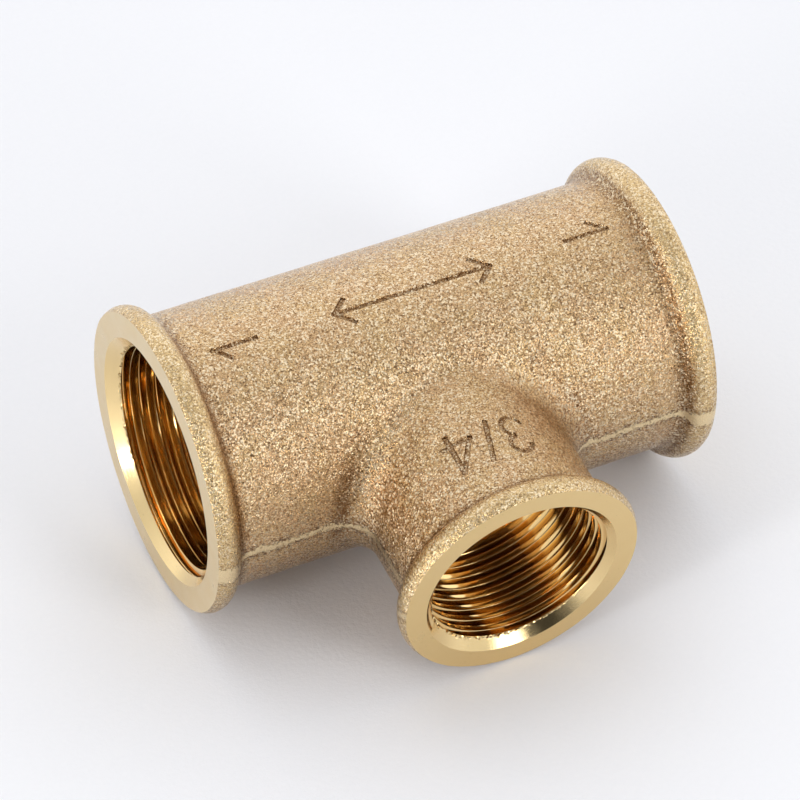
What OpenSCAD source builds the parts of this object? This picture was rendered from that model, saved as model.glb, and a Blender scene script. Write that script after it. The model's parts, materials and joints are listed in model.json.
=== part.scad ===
// Cast reducing tee with three female pipe threads: a straight run and a smaller branch.
// The run lies along X and the branch points along -Y. The origin is where their axes cross,
// and z = 0 is the parting plane of the casting. Lengths are in millimetres.

/* [Casting] */
// Distance between the two end faces of the run
run_length = 71; // [66:0.5:90]
// Outside diameter of the run between its beads
run_d = 37; // [36:0.5:40]
// Distance from the run axis to the end face of the branch
branch_length = 35.5; // [33:0.5:45]
// Outside diameter of the branch behind its bead
branch_d = 29; // [28:0.5:31]
// Radius of the blend where the branch grows out of the run
blend_r = 4; // [2:0.5:5]

/* [Beads] */
// Height of each bead above the body behind it
bead_height = 2.3; // [1.8:0.1:2.8]
// Radius of the half-round bead section
bead_r = 2.4; // [2:0.1:2.8]
// Distance from an end face back to the crest of its bead
bead_setback = 1.4; // [1:0.1:1.8]
// Radius of the hollow corner between a bead and the body
bead_corner_r = 1.5; // [1:0.1:2]

/* [Threads] */
// Crest diameter of the run threads, size 1
run_thread_d = 30.291; // [30.1:0.001:30.5]
// Root diameter of the run threads
run_root_d = 33.249; // [33:0.001:33.5]
// Depth from an end face of the run to the end of its thread
run_thread_depth = 20; // [18:0.5:22]
// Crest diameter of the branch thread, size 3/4
branch_thread_d = 24.117; // [24:0.001:24.3]
// Root diameter of the branch thread
branch_root_d = 26.441; // [26.2:0.001:26.6]
// Depth from the end face of the branch to the end of its thread
branch_thread_depth = 17; // [16:0.5:18]
// How far each mouth chamfer opens beyond the thread roots
chamfer_over = 0.2; // [0:0.05:0.4]

/* [Waterway] */
// Diameter of the cast chamber between the run threads
chamber_d = 32.4; // [31.4:0.1:33]
// Diameter of the cast passage behind the branch thread
passage_d = 26; // [25:0.1:26.4]

/* [Marks] */
// Depth of the sunk marks
mark_depth = 0.3; // [0.2:0.05:0.4]
// Width of the lines in the marks
mark_line = 0.8; // [0.6:0.1:1]
// Height of the size numerals
numeral_h = 6.6; // [5.8:0.2:7]
// Distance from the crossing to the middle of each run numeral
run_mark_x = 24.9; // [23:0.1:25.5]
// Distance from the crossing to the middle of the branch numerals
branch_mark_y = 23.5; // [23:0.1:24.5]
// Length of the flow arrow on the run
arrow_length = 22; // [16:1:26]

/* [Hidden] */

BRONZE = [0.80, 0.66, 0.45];
CIRCLE_FN = 96;         // facets of a circle when it is shown as a mesh
BLEND_STATIONS = 72;    // sections of the blend around the branch
BLEND_STEPS = 7;        // facets across the blend
SINK = 0.05;            // how far the blend's borders lie under the skins they meet
CORE = 1;               // how deep in the metal the sections of the blend close
CROSSING = 0.02;        // keeps the bead corner from being tangent to its neighbours
PAST = 1;               // how far a cutting shape runs past the skin it cuts

half_run = run_length / 2;
run_r = run_d / 2;
branch_r = branch_d / 2;
line_top = (numeral_h - mark_line) / 2; // middle of a numeral's top line, above its own middle

// Outline of a beaded end, in a half-plane: x is the radius, y the distance from the crossing.
module beaded_end(body_r, face_y) {
    crest_y = face_y - bead_setback;
    bead_x = body_r + bead_height - bead_r;
    corner_x = body_r + bead_corner_r;
    reach = bead_r + bead_corner_r;
    corner_y = crest_y - sqrt(reach * reach - (corner_x - bead_x) * (corner_x - bead_x));
    touch_x = bead_x + (corner_x - bead_x) * bead_r / reach;
    touch_y = crest_y + (corner_y - crest_y) * bead_r / reach;

    intersection() {
        union() {
            square([body_r, face_y]);
            translate([bead_x, crest_y]) circle(r = bead_r, $fn = CIRCLE_FN);
            difference() {
                polygon([
                    [body_r - bead_r, corner_y],
                    [corner_x, corner_y],
                    [touch_x, touch_y],
                    [bead_x, crest_y],
                    [body_r - bead_r, crest_y]
                ]);
                translate([corner_x, corner_y])
                    circle(r = bead_corner_r + CROSSING, $fn = CIRCLE_FN);
            }
        }
        square([body_r + 2 * bead_height, face_y]);
    }
}

// Outline of the hole behind one mouth: chamfer, thread bore, and the wider cast way behind it.
module mouth_outline(face_y, crest_d, root_d, thread_depth, way_d) {
    crest_r = crest_d / 2;
    mouth_r = root_d / 2 + chamfer_over;
    way_r = way_d / 2;
    thread_end = face_y - thread_depth;
    polygon([
        [0, 0],
        [way_r, 0],
        [way_r, thread_end - (way_r - crest_r)],
        [crest_r, thread_end],
        [crest_r, face_y - (mouth_r - crest_r)],
        [mouth_r + PAST, face_y + PAST],
        [0, face_y + PAST]
    ]);
}

module run_mouths() {
    for (end = [0, 1])
        mirror([end, 0, 0]) rotate([0, 90, 0]) rotate_extrude($fn = CIRCLE_FN)
            mouth_outline(half_run, run_thread_d, run_root_d, run_thread_depth, chamber_d);
}

module branch_mouth() {
    rotate([90, 0, 0]) rotate_extrude($fn = CIRCLE_FN)
        mouth_outline(branch_length, branch_thread_d, branch_root_d, branch_thread_depth, passage_d);
}

module run_skin() {
    for (end = [0, 1])
        mirror([end, 0, 0]) rotate([0, 90, 0]) rotate_extrude($fn = CIRCLE_FN)
            beaded_end(run_r, half_run);
}

module branch_skin() {
    rotate([90, 0, 0]) rotate_extrude($fn = CIRCLE_FN)
        beaded_end(branch_r, branch_length);
}

// A straight line of a mark, squared off just past both of its ends.
module stroke(from, to) {
    way = to - from;
    translate(from) rotate(atan2(way.y, way.x)) translate([-mark_line / 2, -mark_line / 2])
        square([norm(way) + mark_line, mark_line]);
}

// A curved line of a mark: part of a ring about the point centre.
module bow(centre, radius, start, end) {
    steps = 10;
    function edge(r, a) = centre + r * [cos(a), sin(a)];
    polygon(concat(
        [for (i = [0 : steps]) edge(radius + mark_line / 2, start + (end - start) * i / steps)],
        [for (i = [0 : steps]) edge(radius - mark_line / 2, end + (start - end) * i / steps)]
    ));
}

// The numerals stand upright in the XY plane, each centred on its own middle.
module numeral_one() {
    flag = 0.28 * numeral_h;
    stroke([0, -line_top], [0, line_top]);
    stroke([-flag, line_top - flag], [0, line_top]);
}

module numeral_three() {
    bow_r = line_top / 2;
    bow([0, bow_r], bow_r, 160, -75);
    bow([0, -bow_r], bow_r, 75, -160);
}

module numeral_four() {
    half_w = 0.28 * numeral_h;
    stem_x = half_w / 2;
    bar_y = -line_top / 2;
    stroke([stem_x, -line_top], [stem_x, line_top]);
    stroke([-half_w, bar_y], [stem_x, line_top]);
    stroke([-half_w, bar_y], [half_w, bar_y]);
}

module three_quarters() {
    spacing = 0.6 * numeral_h;
    lean = 0.12 * numeral_h;
    translate([-spacing, 0]) numeral_three();
    stroke([-lean, -line_top], [lean, line_top]);
    translate([spacing, 0]) numeral_four();
}

// Double-headed arrow: water may flow either way along the run.
module flow_arrow() {
    tip = arrow_length / 2;
    barb = 0.3 * numeral_h;
    stroke([-tip, 0], [tip, 0]);
    for (end = [-1, 1], side = [-1, 1])
        stroke([end * tip, 0], [end * (tip - barb), side * barb]);
}

// Cuts flat marks mark_depth deep into the top of a round skin; the skin's axis is turned by axis.
module sunk_in(skin_r, axis) {
    intersection() {
        linear_extrude(height = skin_r + PAST) children();
        rotate(axis) difference() {
            cylinder(r = skin_r + PAST, h = run_length, center = true, $fn = CIRCLE_FN);
            cylinder(r = skin_r - mark_depth, h = run_length + PAST, center = true, $fn = CIRCLE_FN);
        }
    }
}

module marks() {
    sunk_in(run_r, [0, 90, 0]) {
        translate([-run_mark_x, 0]) rotate(90) numeral_one();
        translate([run_mark_x, 0]) rotate(-90) numeral_one();
        flow_arrow();
    }
    sunk_in(branch_r, [90, 0, 0])
        translate([0, -branch_mark_y]) rotate(180) three_quarters();
}

// One section of the blend: a ball of radius blend_r that touches both skins at angle turn
// about the branch. The section runs along the ball from the run to the branch, then closes
// at a point inside the metal.
function ball_centre(turn) =
    let (x = (branch_r + blend_r) * cos(turn), z = (branch_r + blend_r) * sin(turn))
    [x, -sqrt(pow(run_r + blend_r, 2) - z * z), z];

function blend_section(turn) =
    let (
        centre = ball_centre(turn),
        run_share = (run_r - SINK) / (run_r + blend_r),
        on_run = [centre.x, centre.y * run_share, centre.z * run_share],
        branch_edge = branch_r - SINK,
        on_branch = [branch_edge * cos(turn), centre.y, branch_edge * sin(turn)],
        from = (on_run - centre) / norm(on_run - centre),
        to = (on_branch - centre) / norm(on_branch - centre),
        sweep = acos(from * to),
        inner = branch_r - CORE,
        core = [inner * cos(turn), -sqrt(pow(run_r - CORE, 2) - pow(inner * sin(turn), 2)),
                inner * sin(turn)]
    )
    concat(
        [for (step = [0 : BLEND_STEPS])
            let (part = step / BLEND_STEPS, reach = blend_r + SINK * pow(2 * part - 1, 2))
            centre + reach * (from * sin((1 - part) * sweep) + to * sin(part * sweep)) / sin(sweep)],
        [core]
    );

module blend() {
    row = BLEND_STEPS + 2;
    sections = [for (i = [0 : BLEND_STATIONS - 1]) blend_section(i * 360 / BLEND_STATIONS)];
    points = [for (section = sections) each section];
    faces = [
        for (i = [0 : BLEND_STATIONS - 1], j = [0 : row - 1])
            let (
                next_i = (i + 1) % BLEND_STATIONS,
                next_j = (j + 1) % row,
                a = i * row + j,
                b = i * row + next_j,
                c = next_i * row + next_j,
                d = next_i * row + j
            )
            each [[a, b, c], [a, c, d]]
    ];
    polyhedron(points = points, faces = faces);
}

module tee_body() {
    color(BRONZE) difference() {
        union() {
            run_skin();
            branch_skin();
            blend();
        }
        run_mouths();
        branch_mouth();
        marks();
    }
}

tee_body();
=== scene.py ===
"""Cast bronze reducing tee: a shot-blasted casting with three machined, threaded mouths.

The frame's CAD box and mounts give the outer size, the crest diameters and the thread depths; the
other sizes repeat those of the CAD part. The visible casting is one mesh: a skin built from
matching patches, then bored, chamfered, threaded and marked with boolean cuts. Lengths in the
geometry code are millimetres, and the mesh is scaled to metres at the end.
"""

import json
import math

import bmesh
import bpy
import numpy as np
from mathutils import Matrix, Vector, noise


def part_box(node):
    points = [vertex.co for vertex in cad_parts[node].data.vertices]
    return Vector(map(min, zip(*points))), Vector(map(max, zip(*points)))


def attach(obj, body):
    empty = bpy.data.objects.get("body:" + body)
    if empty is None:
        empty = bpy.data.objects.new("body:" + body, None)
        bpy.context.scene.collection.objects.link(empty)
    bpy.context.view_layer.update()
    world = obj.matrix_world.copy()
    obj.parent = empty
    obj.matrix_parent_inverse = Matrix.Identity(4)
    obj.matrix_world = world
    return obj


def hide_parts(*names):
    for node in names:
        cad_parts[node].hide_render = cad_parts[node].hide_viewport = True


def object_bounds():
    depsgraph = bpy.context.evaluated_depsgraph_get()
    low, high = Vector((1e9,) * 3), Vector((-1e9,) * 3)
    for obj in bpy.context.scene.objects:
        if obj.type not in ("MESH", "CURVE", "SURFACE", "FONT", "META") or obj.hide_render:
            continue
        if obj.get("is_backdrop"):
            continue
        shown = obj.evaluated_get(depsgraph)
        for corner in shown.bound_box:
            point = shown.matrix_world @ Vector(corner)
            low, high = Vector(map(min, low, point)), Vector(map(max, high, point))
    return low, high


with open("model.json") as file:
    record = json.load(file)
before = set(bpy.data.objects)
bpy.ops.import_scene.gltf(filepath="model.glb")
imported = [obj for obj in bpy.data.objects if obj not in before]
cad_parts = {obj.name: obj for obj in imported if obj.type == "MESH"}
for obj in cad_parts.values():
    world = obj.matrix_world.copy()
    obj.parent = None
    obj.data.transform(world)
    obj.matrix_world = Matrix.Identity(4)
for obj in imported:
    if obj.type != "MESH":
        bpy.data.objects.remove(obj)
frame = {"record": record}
CAD_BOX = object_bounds()

MM = 0.001
NODE = "tee_body"

# ---------------------------------------------------------------- dimensions, from the frame

LOW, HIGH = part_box(NODE)
MOUNTS = {mount["name"]: mount for mount in frame["record"]["mounts"]}
RUN_MOUNT = MOUNTS["run_thread_plus_x"]
BRANCH_MOUNT = MOUNTS["branch_thread"]

HALF_RUN = HIGH.x / MM
BRANCH_END = -LOW.y / MM
RUN_CREST = HIGH.z / MM
RUN_BORE = RUN_MOUNT["dims"]["r_mm"]
BRANCH_BORE = BRANCH_MOUNT["dims"]["r_mm"]
# A thread's mount lies at its middle; these are the distances from the crossing to its inner end.
RUN_THREAD_END = RUN_MOUNT["pos_m"][0] / MM - RUN_MOUNT["dims"]["length_mm"] / 2
BRANCH_THREAD_END = -BRANCH_MOUNT["pos_m"][1] / MM - BRANCH_MOUNT["dims"]["length_mm"] / 2

# Sizes of the casting that repeat those of the CAD part.
BEAD_HEIGHT = 2.3
BEAD_R = 2.4
BEAD_SETBACK = 1.4
BEAD_CORNER_R = 1.5
BLEND_R = 4.0
CHAMFER_OVER = 0.2
CHAMBER_R = 16.2
PASSAGE_R = 13.0
RUN_R = RUN_CREST - BEAD_HEIGHT
BRANCH_R = 14.5

# Pitches of the pipe threads of sizes 1 and 3/4.
RUN_PITCH = 25.4 / 11
BRANCH_PITCH = 25.4 / 14
# The standard thread form: its depth and the radius of its roots as shares of the pitch, and how
# far a root's curve turns to either side before it meets a flank.
THREAD_DEPTH = 0.640327
THREAD_ROUND = 0.137329
FLANK_TURN = math.radians(90 - 55 / 2)
# The drawn form: half the width of its flat crests and the depth of its roots, as shares of the
# pitch. It is shallower than the standard form.
CREST_FLAT = 0.2
ROOT_DEPTH = 0.54
# Where each helix starts, as a share of a turn.
RUN_START = 0.33
BRANCH_START = -0.15

# Mesh density: spacing of the skin's points, and points along an arc.
STEP = 0.42
ARC_STEPS = 10
# Distances under which points are joined: along the borders of patches, and after the cuts.
WELD = 1e-4
MERGE = 0.01


# ---------------------------------------------------------------- mesh helpers

def clamp(value):
    return max(0.0, min(1.0, value))


class Patchwork:
    """Collects grids of points as quads; grids that share a border are welded afterwards."""

    def __init__(self):
        self.points = []
        self.faces = []

    def grid(self, rows, closed=False):
        """rows: equal lists of points. closed joins each row's end to its start."""
        first = len(self.points)
        width = len(rows[0])
        for row in rows:
            self.points.extend(row)
        for j in range(len(rows) - 1):
            for i in range(width if closed else width - 1):
                k = (i + 1) % width
                a, b = first + j * width + i, first + j * width + k
                self.faces.append((a, b, b + width, a + width))

    def fan(self, ring, centre):
        """Closes a ring of points with triangles around its centre."""
        first = len(self.points)
        self.points.extend(ring)
        self.points.append(centre)
        hub = first + len(ring)
        for i in range(len(ring)):
            self.faces.append((first + i, first + (i + 1) % len(ring), hub))

    def mesh(self, name):
        data = bpy.data.meshes.new(name)
        data.from_pydata([tuple(p) for p in self.points], [], self.faces)
        work = bmesh.new()
        work.from_mesh(data)
        bmesh.ops.remove_doubles(work, verts=work.verts, dist=WELD)
        bmesh.ops.recalc_face_normals(work, faces=work.faces)
        work.to_mesh(data)
        work.free()
        return data


def place(name, data):
    obj = bpy.data.objects.new(name, data)
    bpy.context.scene.collection.objects.link(obj)
    return obj


def subtract(body, cutter):
    """Cuts cutter out of body and removes it."""
    cut = body.modifiers.new("cut", "BOOLEAN")
    cut.operation = "DIFFERENCE"
    cut.solver = "MANIFOLD"
    cut.object = cutter
    bpy.context.view_layer.update()
    evaluated = body.evaluated_get(bpy.context.evaluated_depsgraph_get())
    shaped = bpy.data.meshes.new_from_object(evaluated)
    body.modifiers.clear()
    body.data = shaped
    bpy.data.objects.remove(cutter)


def merge_slivers(data):
    """Joins points closer together than MERGE, to remove the slivers that the cuts leave."""
    work = bmesh.new()
    work.from_mesh(data)
    bmesh.ops.remove_doubles(work, verts=work.verts, dist=MERGE)
    bmesh.ops.dissolve_degenerate(work, edges=work.edges, dist=MERGE)
    bmesh.ops.delete(work, geom=[e for e in work.edges if not e.link_faces], context="EDGES")
    bmesh.ops.delete(work, geom=[v for v in work.verts if not v.link_faces], context="VERTS")
    many_sided = [face for face in work.faces if len(face.verts) > 4]
    bmesh.ops.triangulate(work, faces=many_sided, ngon_method="BEAUTY")
    work.to_mesh(data)
    work.free()


# A mouth frame turns local points, whose z runs out of the mouth, into the row frame.
OUT_PLUS_X = Matrix(((0, 0, 1), (1, 0, 0), (0, 1, 0)))
OUT_MINUS_X = Matrix(((0, 0, -1), (-1, 0, 0), (0, 1, 0)))
OUT_BRANCH = Matrix(((1, 0, 0), (0, 0, -1), (0, 1, 0)))


# ---------------------------------------------------------------- the cast skin

def spaced(start, end, step=STEP):
    return np.linspace(start, end, max(2, int(round(abs(end - start) / step)) + 1))


def bead_outline(body_r, face):
    """(distance from the crossing, radius) from the body's end, over the bead, to the face."""
    crest = face - BEAD_SETBACK
    bead_r = body_r + BEAD_HEIGHT - BEAD_R
    corner_r = body_r + BEAD_CORNER_R
    reach = BEAD_R + BEAD_CORNER_R
    corner = crest - math.sqrt(reach ** 2 - (corner_r - bead_r) ** 2)
    lean = math.atan2(corner_r - bead_r, crest - corner)
    hollow = [
        (corner + BEAD_CORNER_R * math.sin(a), corner_r - BEAD_CORNER_R * math.cos(a))
        for a in np.linspace(0, math.pi / 2 - lean, ARC_STEPS)
    ]
    edge_angle = math.asin(BEAD_SETBACK / BEAD_R)
    bead = [
        (crest + BEAD_R * math.sin(a), bead_r + BEAD_R * math.cos(a))
        for a in np.linspace(lean - math.pi / 2, edge_angle, 2 * ARC_STEPS)
    ]
    return hollow + bead[1:]


def blend_centre(turn):
    """Centre of the ball that touches the run and the branch, at angle turn about the branch."""
    x = (BRANCH_R + BLEND_R) * math.cos(turn)
    z = (BRANCH_R + BLEND_R) * math.sin(turn)
    return np.array((x, -math.sqrt((RUN_R + BLEND_R) ** 2 - z ** 2), z))


def blend_arc(turn, steps=ARC_STEPS):
    """Points across the blend, from the run to the branch."""
    centre = blend_centre(turn)
    share = RUN_R / (RUN_R + BLEND_R)
    on_run = centre * (1, share, share)
    on_branch = np.array((BRANCH_R * math.cos(turn), centre[1], BRANCH_R * math.sin(turn)))
    start = (on_run - centre) / BLEND_R
    end = (on_branch - centre) / BLEND_R
    sweep = math.acos(max(-1.0, min(1.0, float(start @ end))))

    def between(t):
        return start * math.sin((1 - t) * sweep) + end * math.sin(t * sweep)

    return [centre + BLEND_R * between(t) / math.sin(sweep) for t in np.linspace(0, 1, steps)]


def on_run(x, turn, radius=None):
    """Point on the run's skin; turn is measured about the run from the branch side towards +Z."""
    r = RUN_R if radius is None else radius
    return (x, -r * math.cos(turn), r * math.sin(turn))


def cast_skin():
    """The closed outside of the casting, with plain discs where the mouths will be cut."""
    # The patch around the branch: half its length along the run and half its turn about it.
    blend_margin = 5
    half_x = BRANCH_R + BLEND_R + blend_margin
    half_turn = math.radians(80)
    patch_rings = 14
    least_branch_rows = 20

    across = spaced(-half_x, half_x)
    around = np.linspace(-half_turn, half_turn, int(2 * half_turn * RUN_R / STEP) + 1)
    back_sweep = 2 * math.pi - 2 * half_turn
    back = np.linspace(half_turn, 2 * math.pi - half_turn, int(back_sweep * RUN_R / STEP) + 1)

    # The patch's border is a rectangle on the unrolled run, walked once around the branch.
    border = (
        [(half_x, t) for t in around[:-1]]
        + [(x, half_turn) for x in across[::-1][:-1]]
        + [(-half_x, t) for t in around[::-1][:-1]]
        + [(x, -half_turn) for x in across[:-1]]
    )
    top_turn = math.asin((BRANCH_R + BLEND_R) / (RUN_R + BLEND_R))
    turns = [math.atan2(t / top_turn, x / (BRANCH_R + BLEND_R)) for x, t in border]

    # From the blend's edge on the run, out to that border.
    skin = Patchwork()
    rows = []
    for k in range(patch_rings + 1):
        share = k / patch_rings
        row = []
        for (x, t), turn in zip(border, turns):
            edge_x, _, edge_z = blend_centre(turn)
            edge_turn = math.asin(edge_z / (RUN_R + BLEND_R))
            row.append(on_run(edge_x + (x - edge_x) * share, edge_turn + (t - edge_turn) * share))
        rows.append(row)
    skin.grid(rows, closed=True)

    # The blend, then the branch out to its end face.
    arcs = [blend_arc(turn) for turn in turns]
    skin.grid([[arc[k] for arc in arcs] for k in range(ARC_STEPS)], closed=True)

    outline = bead_outline(BRANCH_R, BRANCH_END)
    starts = [blend_centre(turn)[1] for turn in turns]
    bead_start = outline[0][0]
    steps = int((bead_start + min(starts)) / STEP) + least_branch_rows
    rows = [
        [
            (BRANCH_R * math.cos(a), y + (-bead_start - y) * k / steps, BRANCH_R * math.sin(a))
            for a, y in zip(turns, starts)
        ]
        for k in range(steps + 1)
    ]
    rows += [[(r * math.cos(a), -s, r * math.sin(a)) for a in turns] for s, r in outline[1:]]
    skin.grid(rows, closed=True)
    skin.fan(rows[-1], (0, -BRANCH_END, 0))

    # The back of the run, then both of its ends.
    skin.grid([[on_run(x, t) for t in back] for x in across])
    full = list(around) + list(back[1:-1])
    outline = bead_outline(RUN_R, HALF_RUN)
    for end in (-1, 1):
        rows = [[on_run(end * x, t) for t in full] for x in spaced(half_x, outline[0][0])]
        rows += [[on_run(end * s, t, r) for t in full] for s, r in outline[1:]]
        skin.grid(rows, closed=True)
        skin.fan(rows[-1], (end * HALF_RUN, 0, 0))
    return skin.mesh("skin")


def roughen(data):
    """Sinks the cast skin by a small uneven amount; the machined faces keep their planes."""
    lump_depth, lump_size = 0.07, 6
    grain_depth, grain_size = 0.05, 0.9
    on_plane, no_length = 1e-3, 1e-6
    work = bmesh.new()
    work.from_mesh(data)
    work.normal_update()
    shifts = []
    for vert in work.verts:
        on_run_face = abs(vert.co.x) > HALF_RUN - on_plane
        on_branch_face = vert.co.y < -BRANCH_END + on_plane
        lump = lump_depth * (0.5 + 0.5 * noise.noise(vert.co / lump_size))
        grain = grain_depth * (0.5 + 0.5 * noise.noise(vert.co / grain_size))
        depth = lump + grain
        direction = vert.normal.copy()
        if on_run_face:
            direction = Vector((0, vert.co.y, vert.co.z))
        elif on_branch_face:
            direction = Vector((vert.co.x, 0, vert.co.z))
        at_hub = (on_run_face or on_branch_face) and direction.length < 1
        if at_hub or direction.length < no_length:
            continue
        shifts.append((vert, -direction.normalized() * depth))
    for vert, shift in shifts:
        vert.co += shift
    work.to_mesh(data)
    work.free()


# ---------------------------------------------------------------- cuts

def turned(outline, to_row, segments=192):
    """Solid of revolution from (z, radius) points that start and end on the axis."""
    solid = Patchwork()
    angles = np.arange(segments) * 2 * math.pi / segments
    rows = [
        [to_row @ Vector((r * math.cos(a), r * math.sin(a), z)) for a in angles]
        for z, r in outline[1:-1]
    ]
    solid.grid(rows, closed=True)
    solid.fan(rows[0], to_row @ Vector((0, 0, outline[0][0])))
    solid.fan(rows[-1], to_row @ Vector((0, 0, outline[-1][0])))
    return place("way", solid.mesh("way"))


def way_outline(face, bore, pitch, thread_end, way_r):
    """Chamfer, a bore just inside the thread crests, and the cast way behind the thread."""
    tight = bore - 0.15  # the thread plug opens this out to the crests
    mouth = bore + THREAD_DEPTH * pitch + CHAMFER_OVER
    past = 1.0  # how far the cut runs out past the face
    return [
        (thread_end - (way_r - tight), way_r),
        (thread_end, tight),
        (face - (mouth - tight), tight),
        (face + past, mouth + past),
        (face + past, 0),
    ]


def thread_form(pitch):
    """(share of the pitch, height above the crests) over one pitch of the form.

    The roots are rounded and the crests are flat with eased edges.
    """
    round_r = THREAD_ROUND * pitch
    depth = ROOT_DEPTH * pitch
    bends = np.linspace(-FLANK_TURN, FLANK_TURN, 5)
    # Half of a crest with its eased edge, in shares of the pitch.
    eased = [(CREST_FLAT, 0.0), (CREST_FLAT + 0.03, 0.008), (CREST_FLAT + 0.05, 0.035)]
    crest = [(-share, height * pitch) for share, height in reversed(eased)]
    crest += [(share, height * pitch) for share, height in eased]
    root = [(0.5 + THREAD_ROUND * math.sin(a), depth - round_r * (1 - math.cos(a))) for a in bends]
    return crest + root


def thread_plug(face, bore, pitch, thread_end, start, to_row, segments=180):
    """The solid that a tap of this thread would sweep: a helix that fades out at its inner end.

    start turns the whole helix: it is a share of a turn.
    """
    fade = 1.6 * pitch
    form = thread_form(pitch)
    rows_per_turn = len(form)
    first = thread_end - pitch * (1 + start)
    turns = int(math.ceil((face + pitch - first) / pitch)) + 1
    last_row = turns * rows_per_turn

    def point(column, row):
        turn, k = divmod(row, rows_per_turn)
        share, height = form[k]
        along = first + (turn + share + column / segments) * pitch
        t = clamp((along - thread_end) / fade)
        radius = bore + height * t * t * (3 - 2 * t)
        angle = 2 * math.pi * column / segments
        return to_row @ Vector((radius * math.cos(angle), radius * math.sin(angle), along))

    index, points, faces = {}, [], []
    for column in range(segments):
        for row in range(last_row + 1 + (rows_per_turn if column == 0 else 0)):
            index[column, row] = len(points)
            points.append(point(column, row))

    def at(column, row):
        """The last column meets the first one a turn further on."""
        return index[column, row] if column < segments else index[0, row + rows_per_turn]

    for column in range(segments):
        for row in range(last_row):
            here, beside = at(column, row), at(column + 1, row)
            faces.append((here, beside, at(column + 1, row + 1), at(column, row + 1)))
    for row in (0, last_row):
        rim = [at(column, row) for column in range(segments)]
        rim += [index[0, row + k] for k in range(rows_per_turn, 0, -1)]
        hub = len(points)
        points.append(to_row @ Vector((0, 0, first + (row / rows_per_turn + 0.5) * pitch)))
        for i in range(len(rim)):
            faces.append((rim[i], rim[(i + 1) % len(rim)], hub))
    data = bpy.data.meshes.new("plug")
    data.from_pydata([tuple(p) for p in points], [], faces)
    work = bmesh.new()
    work.from_mesh(data)
    bmesh.ops.recalc_face_normals(work, faces=work.faces)
    work.to_mesh(data)
    work.free()
    return place("plug", data)


# ---------------------------------------------------------------- sunk marks

NUMERAL_H = 6.6
LINE_W = 0.75
MARK_DEPTH = 0.32
# Distances from the crossing to the middles of the numerals and to the arrow's tips. The two run
# numerals stand a little off the axis, as cast.
RUN_MARK_X = 24.9
LEFT_MARK_Y = 0.3
RIGHT_MARK_Y = 0.1
BRANCH_MARK_Y = 23.5
ARROW_TIP = 11.0


def bow(centre, radius, start, end, points=14):
    """Points along part of a circle, between two angles in degrees."""
    angles = np.radians(np.linspace(start, end, points))
    return [(centre[0] + radius * math.cos(a), centre[1] + radius * math.sin(a)) for a in angles]


def numeral_one():
    top = (NUMERAL_H - LINE_W) / 2
    flag = 0.28 * NUMERAL_H
    return [[(0, -top), (0, top)], [(-flag, top - flag), (0, top)]]


def three_quarters():
    top = (NUMERAL_H - LINE_W) / 2
    spacing = 0.6 * NUMERAL_H
    lean = 0.12 * NUMERAL_H
    half = 0.28 * NUMERAL_H
    tip, waist = 160, 75  # angles at which each bow of the 3 starts and ends
    three = [
        bow((-spacing, top / 2), top / 2, tip, -waist),
        bow((-spacing, -top / 2), top / 2, waist, -tip),
    ]
    slash = [[(-lean, -top), (lean, top)]]
    stem, bar = spacing + half / 2, -top / 2
    four = [
        [(stem, -top), (stem, top)],
        [(spacing - half, bar), (stem, top)],
        [(spacing - half, bar), (spacing + half, bar)],
    ]
    return three + slash + four


def flow_arrow():
    barb = 0.3 * NUMERAL_H
    lines = [[(-ARROW_TIP, 0), (ARROW_TIP, 0)]]
    for end in (-1, 1):
        for side in (-1, 1):
            lines.append([(end * ARROW_TIP, 0), (end * (ARROW_TIP - barb), side * barb)])
    return lines


def resample(line, step):
    """Evenly spaced points along a line that is made half its width longer at both ends."""
    points = [np.array(p, float) for p in line]
    for near, far in ((0, 1), (-1, -2)):
        away = points[near] - points[far]
        points[near] = points[near] + away / np.linalg.norm(away) * LINE_W / 2
    lengths = [0.0]
    for a, b in zip(points, points[1:]):
        lengths.append(lengths[-1] + float(np.linalg.norm(b - a)))
    places = np.linspace(0, lengths[-1], max(3, int(lengths[-1] / step) + 1))
    xs = np.interp(places, lengths, [p[0] for p in points])
    ys = np.interp(places, lengths, [p[1] for p in points])
    return np.stack([xs, ys], axis=1)


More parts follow.
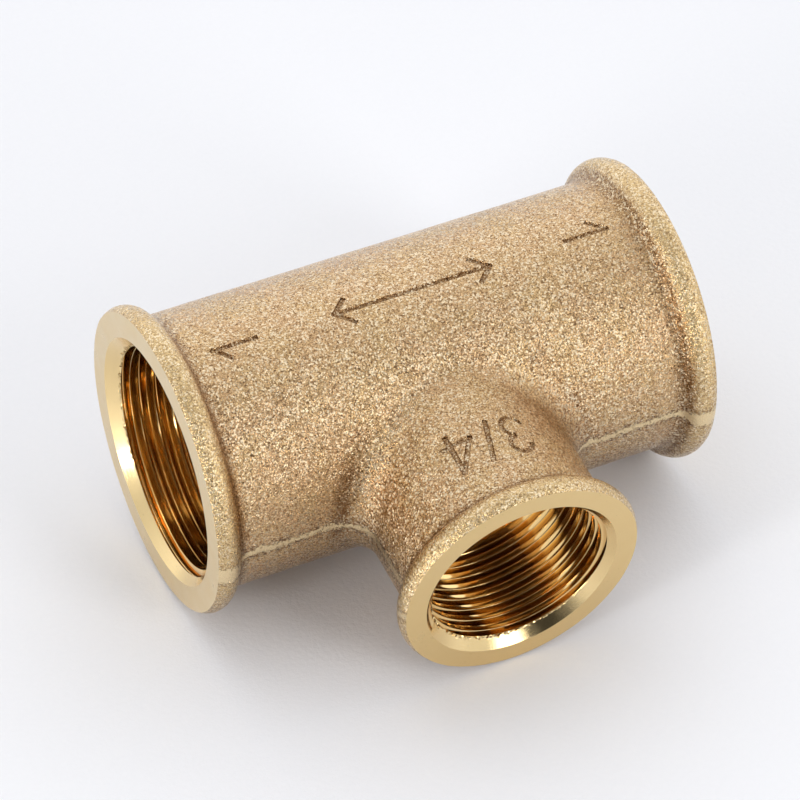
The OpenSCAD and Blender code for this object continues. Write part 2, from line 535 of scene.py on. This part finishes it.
def groove(line, turn, middle, skin_r, about_x):
    """A closed, slightly ragged groove cutter that follows line on top of a round skin.

    The line is turned by turn and moved to middle. about_x says that the skin's axis is X, not Y.
    """
    spacing = 0.22
    floor_share, rim_share = 0.66, 1.35  # half widths at the groove's floor and rim, to the line's
    rim_r = skin_r + 0.25
    ragged_share, uneven_share = 0.22, 0.25  # how much the width and the depth vary
    quickness, corners_apart, depth_pace = 2.1, 3.7, 0.8  # where the noise for them is read
    cos, sin = math.cos(turn), math.sin(turn)
    way = resample(line, spacing)
    tangent = np.gradient(way, axis=0)
    tangent /= np.linalg.norm(tangent, axis=1, keepdims=True)
    side = np.stack([-tangent[:, 1], tangent[:, 0]], axis=1)

    def lift(p, radius):
        x = middle[0] + p[0] * cos - p[1] * sin
        y = middle[1] + p[0] * sin + p[1] * cos
        off = y if about_x else x
        angle = off / skin_r
        if about_x:
            return Vector((x, radius * math.sin(angle), radius * math.cos(angle)))
        return Vector((radius * math.sin(angle), y, radius * math.cos(angle)))

    solid = Patchwork()
    rows = []
    for p, s in zip(way, side):
        seed = Vector((p[0] * quickness + middle[0], p[1] * quickness + middle[1], skin_r))
        seeds = [seed + Vector((0, 0, corners_apart * n)) for n in range(4)]
        ragged = [1 + ragged_share * noise.noise(corner) for corner in seeds]
        floor_r = skin_r - MARK_DEPTH * (1 + uneven_share * noise.noise(seed * depth_pace))
        half = LINE_W / 2
        rows.append([
            lift(p - s * half * floor_share * ragged[0], floor_r),
            lift(p + s * half * floor_share * ragged[1], floor_r),
            lift(p + s * half * rim_share * ragged[2], rim_r),
            lift(p - s * half * rim_share * ragged[3], rim_r),
        ])
    solid.grid(rows, closed=True)
    first = len(solid.points)
    solid.points.extend(rows[0])
    solid.points.extend(rows[-1])
    solid.faces.append((first, first + 1, first + 2, first + 3))
    solid.faces.append((first + 4, first + 5, first + 6, first + 7))
    return place("groove", solid.mesh("groove"))


def marks():
    """Every groove of the size numerals and of the flow arrow."""
    quarter = math.pi / 2
    for line in numeral_one():
        yield groove(line, quarter, (-RUN_MARK_X, LEFT_MARK_Y), RUN_R, True)
        yield groove(line, -quarter, (RUN_MARK_X, RIGHT_MARK_Y), RUN_R, True)
    for line in flow_arrow():
        yield groove(line, 0.0, (0, 0), RUN_R, True)
    for line in three_quarters():
        yield groove(line, math.pi, (0, -BRANCH_MARK_Y), BRANCH_R, False)


# ---------------------------------------------------------------- materials

# Colours, as linear red, green and blue.
BRONZE = (0.71, 0.485, 0.24)
BRONZE_DEEP = (0.17, 0.08, 0.03)
RUBBED_BRONZE = (0.78, 0.59, 0.29)
# Pale grains of fresh metal, also a painted highlight for glinting grains:
FRESH_METAL_AND_GLINT = (1.0, 0.85, 0.60)
FETTLED = (0.78, 0.61, 0.36)
# The cast way inside the fitting, painted dark as shade deep in the bore:
CORE = (0.25, 0.15, 0.07)
CORE_DEEP = (0.12, 0.06, 0.03)
# One turned metal in two tones: painted paler on the run faces and deeper on the branch face, as
# painted light for how each face is lit.
RUN_FACE_PAINTED_PALER = (0.78, 0.62, 0.37)
BRANCH_FACE_PAINTED_DEEPER = (0.76, 0.56, 0.27)
THREAD = (0.90, 0.63, 0.28)
CHAMFER = (0.86, 0.65, 0.33)
SPECK = (0.35, 0.22, 0.1)
# Painted shade for the thread roots:
ROOT_SHADE = (0.48, 0.22, 0.05)
FLOOR_DARK = (0.89, 0.893, 0.92)
FLOOR_LIGHT = (0.92, 0.923, 0.95)
SKY = (0.97, 0.98, 1.0, 1)


def new_material(name):
    mat = bpy.data.materials.new(name)
    mat.use_nodes = True
    tree = mat.node_tree
    tree.nodes.clear()
    out = tree.nodes.new("ShaderNodeOutputMaterial")
    shader = tree.nodes.new("ShaderNodeBsdfPrincipled")
    shader.inputs["Metallic"].default_value = 1.0
    tree.links.new(shader.outputs[0], out.inputs[0])
    return mat, tree, shader


def wire(tree, value, socket):
    """Feeds a socket with another node's output or with a constant."""
    if isinstance(value, bpy.types.NodeSocket):
        tree.links.new(value, socket)
    else:
        socket.default_value = value


def math_node(tree, operation, a, b=0.0, c=0.0, clamp=False):
    node = tree.nodes.new("ShaderNodeMath")
    node.operation = operation
    node.use_clamp = clamp
    for value, socket in zip((a, b, c), node.inputs):
        wire(tree, value, socket)
    return node.outputs[0]


def vector_math(tree, operation, a, b=None):
    node = tree.nodes.new("ShaderNodeVectorMath")
    node.operation = operation
    wire(tree, a, node.inputs[0])
    if b is not None:
        wire(tree, b, node.inputs["Scale" if operation == "SCALE" else 1])
    return node.outputs["Value" if operation == "DOT_PRODUCT" else "Vector"]


def swing(tree, share, reach):
    """Turns a value from 0 to 1 into one from -reach to reach."""
    return math_node(tree, "MULTIPLY_ADD", share, 2 * reach, -reach)


def ramp(tree, value, low, high, to_low=0.0, to_high=1.0):
    """A smooth step: to_low where value is low or beyond it, to_high where it is high."""
    node = tree.nodes.new("ShaderNodeMapRange")
    node.interpolation_type = "SMOOTHSTEP"
    wire(tree, value, node.inputs["Value"])
    numbers = {"From Min": low, "From Max": high, "To Min": to_low, "To Max": to_high}
    for socket, number in numbers.items():
        node.inputs[socket].default_value = number
    return node.outputs["Result"]


def mix_colour(tree, share, a, b):
    node = tree.nodes.new("ShaderNodeMix")
    node.data_type = "RGBA"
    wire(tree, share, node.inputs["Factor"])
    wire(tree, (*a, 1.0) if isinstance(a, tuple) else a, node.inputs["A"])
    wire(tree, (*b, 1.0) if isinstance(b, tuple) else b, node.inputs["B"])
    return node.outputs["Result"]


def combine(tree, x, y, z):
    node = tree.nodes.new("ShaderNodeCombineXYZ")
    for value, socket in zip((x, y, z), node.inputs):
        wire(tree, value, socket)
    return node.outputs[0]


def attribute(tree, name):
    node = tree.nodes.new("ShaderNodeAttribute")
    node.attribute_name = name
    return node.outputs["Fac"]


def millimetres(tree):
    """Object coordinates in millimetres, as a vector and as x, y and z."""
    coords = tree.nodes.new("ShaderNodeTexCoord")
    at = vector_math(tree, "SCALE", coords.outputs["Object"], 1 / MM)
    split = tree.nodes.new("ShaderNodeSeparateXYZ")
    tree.links.new(at, split.inputs[0])
    return at, split.outputs


def noise_node(tree, vector, scale, detail=2.0, roughness=0.5):
    node = tree.nodes.new("ShaderNodeTexNoise")
    tree.links.new(vector, node.inputs["Vector"])
    node.inputs["Scale"].default_value = scale
    node.inputs["Detail"].default_value = detail
    node.inputs["Roughness"].default_value = roughness
    return node.outputs["Fac"]


def cells(tree, vector, scale):
    """Grains: the distance from each one's middle, and a random colour for each."""
    node = tree.nodes.new("ShaderNodeTexVoronoi")
    tree.links.new(vector, node.inputs["Vector"])
    node.inputs["Scale"].default_value = scale
    return node.outputs["Distance"], node.outputs["Color"]


def bump(tree, height, depth_mm):
    node = tree.nodes.new("ShaderNodeBump")
    node.inputs["Strength"].default_value = 1.0
    node.inputs["Distance"].default_value = depth_mm * MM
    wire(tree, height, node.inputs["Height"])
    return node.outputs["Normal"]


def tilt_by_cells(tree, normal, colour, amount):
    """Turns the normal of each cell its own way, so that grains catch the light one by one."""
    own_way = vector_math(tree, "SUBTRACT", colour, (0.5, 0.5, 0.5))
    shift = vector_math(tree, "SCALE", own_way, amount)
    return vector_math(tree, "NORMALIZE", vector_math(tree, "ADD", normal, shift))


def parting_strip(tree, at, xyz):
    """The fettled strip along the parting line z = 0, and the torn skin along its edges."""
    torn_reach = 0.6
    wander = swing(tree, noise_node(tree, at, scale=0.16, detail=3.0), reach=0.8)
    off_line = math_node(tree, "ABSOLUTE", math_node(tree, "ADD", xyz[2], wander))

    # Half the strip's width: it is wider on the beads, varies slowly, and its edges are ragged.
    from_middle = math_node(tree, "ABSOLUTE", xyz[0])
    half = ramp(tree, from_middle, HALF_RUN - 5, HALF_RUN - 1.5, to_low=0.5, to_high=1.4)
    slow = swing(tree, noise_node(tree, at, scale=0.3), reach=0.4)
    ragged = swing(tree, noise_node(tree, at, scale=2.4, detail=5.0, roughness=0.85), reach=2.1)
    half = math_node(tree, "ADD", math_node(tree, "ADD", half, slow), ragged)

    breaks = ramp(tree, noise_node(tree, at, scale=0.9), 0.2, 0.25)
    strip = math_node(tree, "MULTIPLY", math_node(tree, "LESS_THAN", off_line, half), breaks)
    beside = math_node(tree, "LESS_THAN", off_line, math_node(tree, "ADD", half, torn_reach))
    patches = ramp(tree, noise_node(tree, at, scale=2.2), 0.46, 0.52)
    return strip, math_node(tree, "MULTIPLY", beside, patches)


def cast_material(name, tone, deep, grain_depth):
    """Sand-cast, shot-blasted bronze, with the fettled parting line at z = 0."""
    mat, tree, shader = new_material(name)
    at, xyz = millimetres(tree)
    fine = noise_node(tree, at, scale=6.8, roughness=0.65)
    broad = noise_node(tree, at, scale=0.22, detail=3.0, roughness=0.6)
    distance, colour = cells(tree, at, scale=4.8)
    glint = tree.nodes.new("ShaderNodeSeparateColor")
    tree.links.new(colour, glint.inputs[0])
    lightness, roughness, darkness = glint.outputs[0], glint.outputs[1], glint.outputs[2]
    # Painted shade for the hollows: the blend, behind the beads and in the marks.
    hollow = attribute(tree, "crease")
    rubbed = attribute(tree, "rubbed")
    strip, torn = parting_strip(tree, at, xyz)

    # The base tone varies slowly, and is paler where the beads are rubbed.
    ruddy = (tone[0] * 0.99, tone[1] * 0.95, tone[2] * 1.02)
    hue = mix_colour(tree, ramp(tree, broad, 0.3, 0.7), ruddy, tone)
    hue = mix_colour(tree, math_node(tree, "MULTIPLY", rubbed, 0.6), hue, RUBBED_BRONZE)

    # Dirt darkens pits, single grains and the torn skin; painted shade darkens the hollows and the
    # underside.
    rough_share = math_node(tree, "MULTIPLY_ADD", rubbed, -0.25, 1.0)
    pits = math_node(tree, "MULTIPLY", ramp(tree, fine, 0.56, 0.38), 0.8)
    dark_grains = ramp(tree, darkness, 0.72, 0.95, to_high=0.85)
    pits = math_node(tree, "MAXIMUM", pits, dark_grains)
    pits = math_node(tree, "MULTIPLY", math_node(tree, "MAXIMUM", pits, torn), rough_share)
    # Painted shade: the skin is darker towards the bottom.
    below = ramp(tree, xyz[2], -2.0, -12.0, to_high=0.3)
    dirt_and_shade = math_node(tree, "ADD", pits, below)
    # Painted shade darkens the hollows.
    dirt_and_shade = math_node(tree, "MULTIPLY_ADD", hollow, 0.8, dirt_and_shade, clamp=True)
    skin_colour = mix_colour(tree, dirt_and_shade, hue, deep)

    # Other grains are pale as fresh metal, and paler still as a painted highlight for glinting grains;
    # the fettled strip is bare metal.
    fresh_and_glint_grains = math_node(tree, "MULTIPLY", ramp(tree, lightness, 0.6, 0.95), 0.65)
    skin_colour = mix_colour(tree, fresh_and_glint_grains, skin_colour, FRESH_METAL_AND_GLINT)
    wire(tree, mix_colour(tree, strip, skin_colour, FETTLED), shader.inputs["Base Color"])
    grain_rough = ramp(tree, roughness, 0.2, 0.9, to_low=0.3, to_high=0.16)
    wire(tree, grain_rough, shader.inputs["Roughness"])

    # The grain stands up and leans each its own way, but hardly on the strip.
    keep = math_node(tree, "SUBTRACT", 1.0, math_node(tree, "MULTIPLY", strip, 0.9))
    height = math_node(tree, "ADD", fine, math_node(tree, "MULTIPLY", distance, 0.5))
    normal = bump(tree, math_node(tree, "MULTIPLY", height, keep), grain_depth)
    lean = math_node(tree, "MULTIPLY", math_node(tree, "MULTIPLY", keep, rough_share), 0.55)
    tree.links.new(tilt_by_cells(tree, normal, colour, lean), shader.inputs["Normal"])
    return mat


def machined_material(name, tone, roughness, axis, depth_mm, root_r=None, burr_r=None):
    """Turned metal with tool marks around axis ("X" or "Y").

    Beyond the radius root_r the metal is darker, as painted shade in the thread roots. burr_r is the
    radius of a ragged inner edge.
    """
    marks_per_mm = 9.0
    mat, tree, shader = new_material(name)
    at, xyz = millimetres(tree)
    along, across = (xyz[0], xyz[1]) if axis == "X" else (xyz[1], xyz[0])
    squares = [math_node(tree, "MULTIPLY", side, side) for side in (across, xyz[2])]
    radius = math_node(tree, "SQRT", math_node(tree, "ADD", *squares))
    ring_marks, step_marks = [
        math_node(tree, "MULTIPLY", place_mm, marks_per_mm) for place_mm in (radius, along)
    ]
    rings = combine(tree, ring_marks, step_marks, 0.0)
    tool = noise_node(tree, rings, scale=1.0, detail=3.0, roughness=0.6)
    haze = noise_node(tree, at, scale=0.35, detail=3.0)

    speck_distance, _ = cells(tree, at, scale=1.1)
    speck = ramp(tree, speck_distance, 0.05, 0.1, to_low=0.35, to_high=0.0)
    colour = mix_colour(tree, speck, tone, SPECK)
    if root_r is not None:
        # Painted shade in the thread roots, beyond root_r.
        root_shade = ramp(tree, radius, root_r - 0.2, root_r + 0.15, to_high=0.45)
        colour = mix_colour(tree, root_shade, colour, ROOT_SHADE)
    wire(tree, colour, shader.inputs["Base Color"])
    hazy = ramp(tree, haze, 0.3, 0.7, to_low=roughness * 0.85, to_high=roughness * 1.2)
    wire(tree, hazy, shader.inputs["Roughness"])

    normal = bump(tree, tool, depth_mm)
    if burr_r is not None:
        _, grain = cells(tree, at, scale=3.6)
        torn = math_node(tree, "MULTIPLY_ADD", noise_node(tree, at, scale=1.3), 0.8, radius)
        edge = ramp(tree, torn, burr_r + 0.6, burr_r + 0.7, to_low=1.5, to_high=0.0)
        normal = tilt_by_cells(tree, normal, grain, edge)
    tree.links.new(normal, shader.inputs["Normal"])
    return mat


# ---------------------------------------------------------------- the piece

# The surfaces of the fitting, in the order of their materials.
SLOTS = (
    "skin",
    "face_run",
    "face_branch",
    "thread_run",
    "thread_branch",
    "core",
    "chamfer_run",
    "chamfer_branch",
)


def materials():
    return (
        cast_material("cast_skin", BRONZE, BRONZE_DEEP, 0.07),
        # The two faces' tones differ as painted light.
        machined_material("turned_run_face", RUN_FACE_PAINTED_PALER, 0.32, "X", 0.006),
        machined_material("turned_branch_face", BRANCH_FACE_PAINTED_DEEPER, 0.32, "Y", 0.006),
        machined_material("run_thread", THREAD, 0.1, "X", 0.003, root_r=RUN_BORE + 0.4),
        machined_material("branch_thread", THREAD, 0.1, "Y", 0.003, root_r=BRANCH_BORE + 0.35),
        # The cast way inside is painted dark, as shade deep in the bore.
        cast_material("cast_core_painted_dark", CORE, CORE_DEEP, 0.05),
        machined_material("run_chamfer", CHAMFER, 0.19, "X", 0.012, burr_r=RUN_BORE),
        machined_material("branch_chamfer", CHAMFER, 0.19, "Y", 0.012, burr_r=BRANCH_BORE),
    )


def sort_face(centre, normal):
    """Which surface of the fitting a face belongs to, from its place (mm) and normal."""
    on_plane, square_on = 0.01, 0.9
    chamfer_reach, chamfer_slope, slope_slack = 2.5, math.sqrt(0.5), 0.03
    run_skin, branch_skin = 1.2, 0.7  # metal under the skin that still counts as skin
    from_run = math.hypot(centre.y, centre.z)
    from_branch = math.hypot(centre.x, centre.z)
    if abs(centre.x) > HALF_RUN - on_plane and abs(normal.x) > square_on:
        return "face_run"
    if centre.y < -BRANCH_END + on_plane and abs(normal.y) > square_on:
        return "face_branch"

    past_chamber = centre.y < -CHAMBER_R * 0.5 and from_run > CHAMBER_R - 0.05
    if past_chamber and from_branch < BRANCH_R - branch_skin:
        sloped = abs(abs(normal.y) - chamfer_slope) < slope_slack
        if -centre.y > BRANCH_END - chamfer_reach and sloped:
            return "chamfer_branch"
        return "thread_branch" if -centre.y > BRANCH_THREAD_END else "core"
    if from_run < RUN_R - run_skin:
        sloped = abs(abs(normal.x) - chamfer_slope) < slope_slack
        if abs(centre.x) > HALF_RUN - chamfer_reach and sloped:
            return "chamfer_run"
        return "thread_run" if abs(centre.x) > RUN_THREAD_END else "core"
    return "skin"


def painted_blend_shade(point, off_run, off_branch):
    """Painted shade in the blend, most in a band where it leaves the run; stronger on the -X side."""
    hollow_share, run_side, branch_side, side_gap = 0.8, 1.2, 0.5, 0.6
    band_height, band_middle, band_half = 1.5, 3.2, 1.7
    left_peak, right_peak = 1.05, 0.55
    fade_start, fade_length = 5, 9
    below_length, below_most = 4, 0.7
    deepest = BLEND_R * (1 - math.sqrt(0.5))
    shade_amount = 0.0
    if point.y < 0 and off_branch < BLEND_R and off_run < BLEND_R:
        nearer_run = off_branch > off_run + side_gap
        shade_amount = hollow_share * max(0.0, min(off_run, off_branch) / deepest)
        shade_amount *= run_side if nearer_run else branch_side
    if point.y < 0 and off_run < band_height:
        peak = left_peak if point.x < 0 else right_peak
        shade_amount = max(shade_amount, peak - abs(off_branch - band_middle) / band_half)
    fade_above = clamp((point.z - fade_start) / fade_length)
    fade_below = min(below_most, -point.z / below_length)
    return clamp(shade_amount * (1 - max(fade_above, fade_below)))


def bead_hollow(point, off_run, off_branch):
    """How near a point lies to the bottom of the hollow corner behind a bead, from 0 to 1."""
    corner_gap, corner_half = 0.3, 1.3
    highest = 0.6 * BEAD_HEIGHT
    nearest = 0.0
    for along, off, face in ((abs(point.x), off_run, HALF_RUN), (-point.y, off_branch, BRANCH_END)):
        corner = face - BEAD_SETBACK - BEAD_R - corner_gap
        if off < highest:
            nearest = max(nearest, 1 - abs(along - corner) / corner_half)
    return clamp(nearest)


def mark_depth(point, off_run, off_branch):
    """How far down in a sunk mark a point lies, from 0 to 1."""
    # Painted shade starts this far down in a mark and grows over the next distance; deepest bounds a
    # mark.
    shade_from, shade_rise, deepest = 0.13, 0.1, 1
    on_run_skin = off_branch > 0 or point.y > -BRANCH_R * 0.9
    on_branch_skin = point.y < -RUN_R
    below_skin = max(-off_run if on_run_skin else 0.0, -off_branch if on_branch_skin else 0.0)
    if point.z <= 0 or below_skin >= deepest:
        return 0.0
    return clamp((below_skin - shade_from) / shade_rise)


def painted_crease_shade(point):
    """How much painted shade a point gets for lying in a hollow of the skin, from 0 to 1."""
    # Shares of painted shade behind the beads and in the sunk marks.
    bead_share, mark_share = 0.5, 0.6
    off_run = math.hypot(point.y, point.z) - RUN_R
    off_branch = math.hypot(point.x, point.z) - BRANCH_R
    return max(
        painted_blend_shade(point, off_run, off_branch),
        bead_share * bead_hollow(point, off_run, off_branch),
        mark_share * mark_depth(point, off_run, off_branch),
    )


def bead_crest(point):
    """How near a point of the skin lies to the crest of a bead, from 0 to 1."""
    share, low, rise = 0.0, 0.45, 0.4
    off_run = math.hypot(point.y, point.z) - RUN_R
    off_branch = math.hypot(point.x, point.z) - BRANCH_R
    for along, off, face in ((abs(point.x), off_run, HALF_RUN), (-point.y, off_branch, BRANCH_END)):
        if face - along < 2 * BEAD_R:
            share = max(share, (off / BEAD_HEIGHT - low) / rise)
    return clamp(share)


def store(data, name, values):
    """Keeps one number for each point, for the materials to read."""
    data.attributes.new(name, "FLOAT", "POINT").data.foreach_set("value", values)


def build_casting():
    sharp_from = math.radians(38)
    data = cast_skin()
    roughen(data)
    body = place("tee_casting", data)

    run_half = way_outline(HALF_RUN, RUN_BORE, RUN_PITCH, RUN_THREAD_END, CHAMBER_R)
    mirrored = [(-z, r) for z, r in reversed(run_half)]
    subtract(body, turned(mirrored + run_half, OUT_PLUS_X))
    branch_half = way_outline(BRANCH_END, BRANCH_BORE, BRANCH_PITCH, BRANCH_THREAD_END, PASSAGE_R)
    subtract(body, turned([(0, 0), (0, PASSAGE_R)] + branch_half, OUT_BRANCH))
    for to_row in (OUT_PLUS_X, OUT_MINUS_X):
        plug = thread_plug(HALF_RUN, RUN_BORE, RUN_PITCH, RUN_THREAD_END, RUN_START, to_row)
        subtract(body, plug)
    plug = thread_plug(
        BRANCH_END, BRANCH_BORE, BRANCH_PITCH, BRANCH_THREAD_END, BRANCH_START, OUT_BRANCH
    )
    subtract(body, plug)
    for cutter in marks():
        subtract(body, cutter)

    data = body.data
    merge_slivers(data)
    centres = np.zeros(len(data.polygons) * 3)
    data.polygons.foreach_get("center", centres)
    sorts = [
        SLOTS.index(sort_face(Vector(centre), poly.normal))
        for centre, poly in zip(centres.reshape(-1, 3), data.polygons)
    ]
    # Painted shade for the hollows of the skin; wear on the bead crests.
    store(data, "crease", [painted_crease_shade(vert.co) for vert in data.vertices])
    store(data, "rubbed", [bead_crest(vert.co) for vert in data.vertices])

    data.materials.clear()
    for mat in materials():
        data.materials.append(mat)
    data.polygons.foreach_set("material_index", sorts)
    data.transform(Matrix.Scale(MM, 4))
    data.polygons.foreach_set("use_smooth", [True] * len(data.polygons))
    data.set_sharp_from_angle(angle=sharp_from)
    data.update()
    return body


casting = build_casting()
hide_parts(NODE)
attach(casting, "root")

# ---------------------------------------------------------------- stage

def floor_lean():
    """The fitting lies on its two run beads and its smaller branch bead, so the floor leans.

    It touches the run beads RUN_CREST below the axis, and the branch bead below its own crest.
    """
    branch_ring = BRANCH_R + BEAD_HEIGHT - BEAD_R
    branch_bead_y = BRANCH_END - BEAD_SETBACK
    run_ring = RUN_CREST - BEAD_R
    span = math.hypot(branch_bead_y, branch_ring)
    return math.asin(run_ring / span) - math.asin(branch_ring / span)


FLOOR_TURN = Matrix.Rotation(-floor_lean(), 4, "X")
FLOOR_HALF = 0.34

# The camera's angles are measured on the leaning floor; at azimuth 0 it looks along +Y.
CAMERA_AZIMUTH = 25.4
CAMERA_ELEVATION = 43.77
CAMERA_ROLL = 0.32
CAMERA_DISTANCE = 0.687
CAMERA_LENS = 236.0
CAMERA_SENSOR = 36.0
CAMERA_AIM = Vector((-1.2, -1.4, -1.5)) * MM

# The camera's opening in the light tent, in degrees: its middle azimuth, half its width, its top,
# and how far its sides and its top fade. Inside it the tent keeps the share GAP_LIGHT.
GAP_MIDDLE = 190
GAP_HALF = 20
GAP_TOP = 46
GAP_SIDE_FADE = 6
GAP_TOP_FADE = 14
GAP_LIGHT = 0.05


def build_floor():
    half = FLOOR_HALF
    corners = [(-half, -half, 0), (half, -half, 0), (half, half, 0), (-half, half, 0)]
    data = bpy.data.meshes.new("floor")
    data.from_pydata(corners, [], [(0, 1, 2, 3)])
    floor = place("floor", data)
    floor.matrix_world = FLOOR_TURN @ Matrix.Translation((0, 0, -RUN_CREST * MM))
    mat, tree, shader = new_material("pale_floor")
    shader.inputs["Metallic"].default_value = 0.0
    shader.inputs["Roughness"].default_value = 0.55
    at, _ = millimetres(tree)
    fibre = noise_node(tree, at, scale=1.4, detail=3.0, roughness=0.7)
    wire(tree, mix_colour(tree, fibre, FLOOR_DARK, FLOOR_LIGHT), shader.inputs["Base Color"])
    tree.links.new(bump(tree, fibre, 0.05), shader.inputs["Normal"])
    data.materials.append(mat)
    floor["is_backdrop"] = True


def floor_direction(azimuth, elevation):
    """Unit vector at angles measured on the leaning floor; azimuth 0 is +Y and 90 is +X."""
    az, el = math.radians(azimuth), math.radians(elevation)
    level = Vector((math.sin(az) * math.cos(el), math.cos(az) * math.cos(el), math.sin(el)))
    return FLOOR_TURN.to_3x3() @ level


def build_light(name, azimuth, elevation, distance, width, height, power):
    """A softbox aimed at the part; the angles are measured on the leaning floor."""
    lamp = bpy.data.lights.new(name, "AREA")
    lamp.shape = "RECTANGLE"
    lamp.size = width
    lamp.size_y = height
    lamp.energy = power
    away = floor_direction(azimuth, elevation)
    turn = away.to_track_quat("Z", "Y").to_matrix().to_4x4()
    place(name, lamp).matrix_world = Matrix.Translation(away * distance) @ turn


def cosine(degrees):
    return math.cos(math.radians(degrees))


def sine(degrees):
    return math.sin(math.radians(degrees))


def build_world():
    """A white light tent: dimmer overhead, brighter at the back right, dark where the camera is."""
    world = bpy.data.worlds.new("tent")
    world.use_nodes = True
    tree = world.node_tree
    background = tree.nodes["Background"]
    view = tree.nodes.new("ShaderNodeTexCoord").outputs["Generated"]

    def towards(azimuth, elevation):
        """Cosine of the angle between the direction looked up and this one."""
        return vector_math(tree, "DOT_PRODUCT", view, floor_direction(azimuth, elevation))

    up = towards(0, 90)
    overhead = ramp(tree, up, cosine(60), cosine(30), to_low=1.0, to_high=0.66)
    back = ramp(tree, towards(30, 15), cosine(110), cosine(15), to_low=0.8, to_high=1.45)
    side = math_node(tree, "ARCTAN2", towards(GAP_MIDDLE - 90, 0), towards(GAP_MIDDLE, 0))
    off_middle = math_node(tree, "ABSOLUTE", side)
    beside = ramp(tree, off_middle, math.radians(GAP_HALF), math.radians(GAP_HALF + GAP_SIDE_FADE))
    above = ramp(tree, up, sine(GAP_TOP), sine(GAP_TOP + GAP_TOP_FADE))
    gap = math_node(tree, "MAXIMUM", math_node(tree, "MAXIMUM", beside, above), GAP_LIGHT)
    strength = math_node(tree, "MULTIPLY", math_node(tree, "MULTIPLY", overhead, back), gap)
    tree.links.new(strength, background.inputs["Strength"])
    background.inputs["Color"].default_value = SKY
    bpy.context.scene.world = world


def build_camera():
    camera = bpy.data.cameras.new("camera")
    camera.lens = CAMERA_LENS
    camera.sensor_width = CAMERA_SENSOR
    camera.clip_start = 0.01
    az, el = math.radians(CAMERA_AZIMUTH), math.radians(CAMERA_ELEVATION)
    back = Vector((-math.sin(az) * math.cos(el), -math.cos(az) * math.cos(el), math.sin(el)))
    roll = Matrix.Rotation(math.radians(CAMERA_ROLL), 4, "Z")
    turn = FLOOR_TURN @ back.to_track_quat("Z", "Y").to_matrix().to_4x4() @ roll
    stand = CAMERA_AIM + (FLOOR_TURN.to_3x3() @ back) * CAMERA_DISTANCE
    obj = place("camera", camera)
    obj.matrix_world = Matrix.Translation(stand) @ turn
    bpy.context.scene.camera = obj


build_floor()
build_light("overhead", azimuth=-35, elevation=72, distance=1.0, width=0.6, height=0.6, power=0.78)
build_light("front_right", azimuth=157, elevation=24, distance=0.8, width=0.26, height=0.5, power=1.95)
build_light("left", azimuth=250, elevation=14, distance=0.8, width=0.12, height=0.3, power=2.0)
build_world()
build_camera()
bpy.context.scene.view_settings.view_transform = "Standard"

VISUAL_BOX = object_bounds()
boxes = {"cad": CAD_BOX, "visual": VISUAL_BOX}
plain = {name: [[float(v) for v in corner] for corner in box] for name, box in boxes.items()}
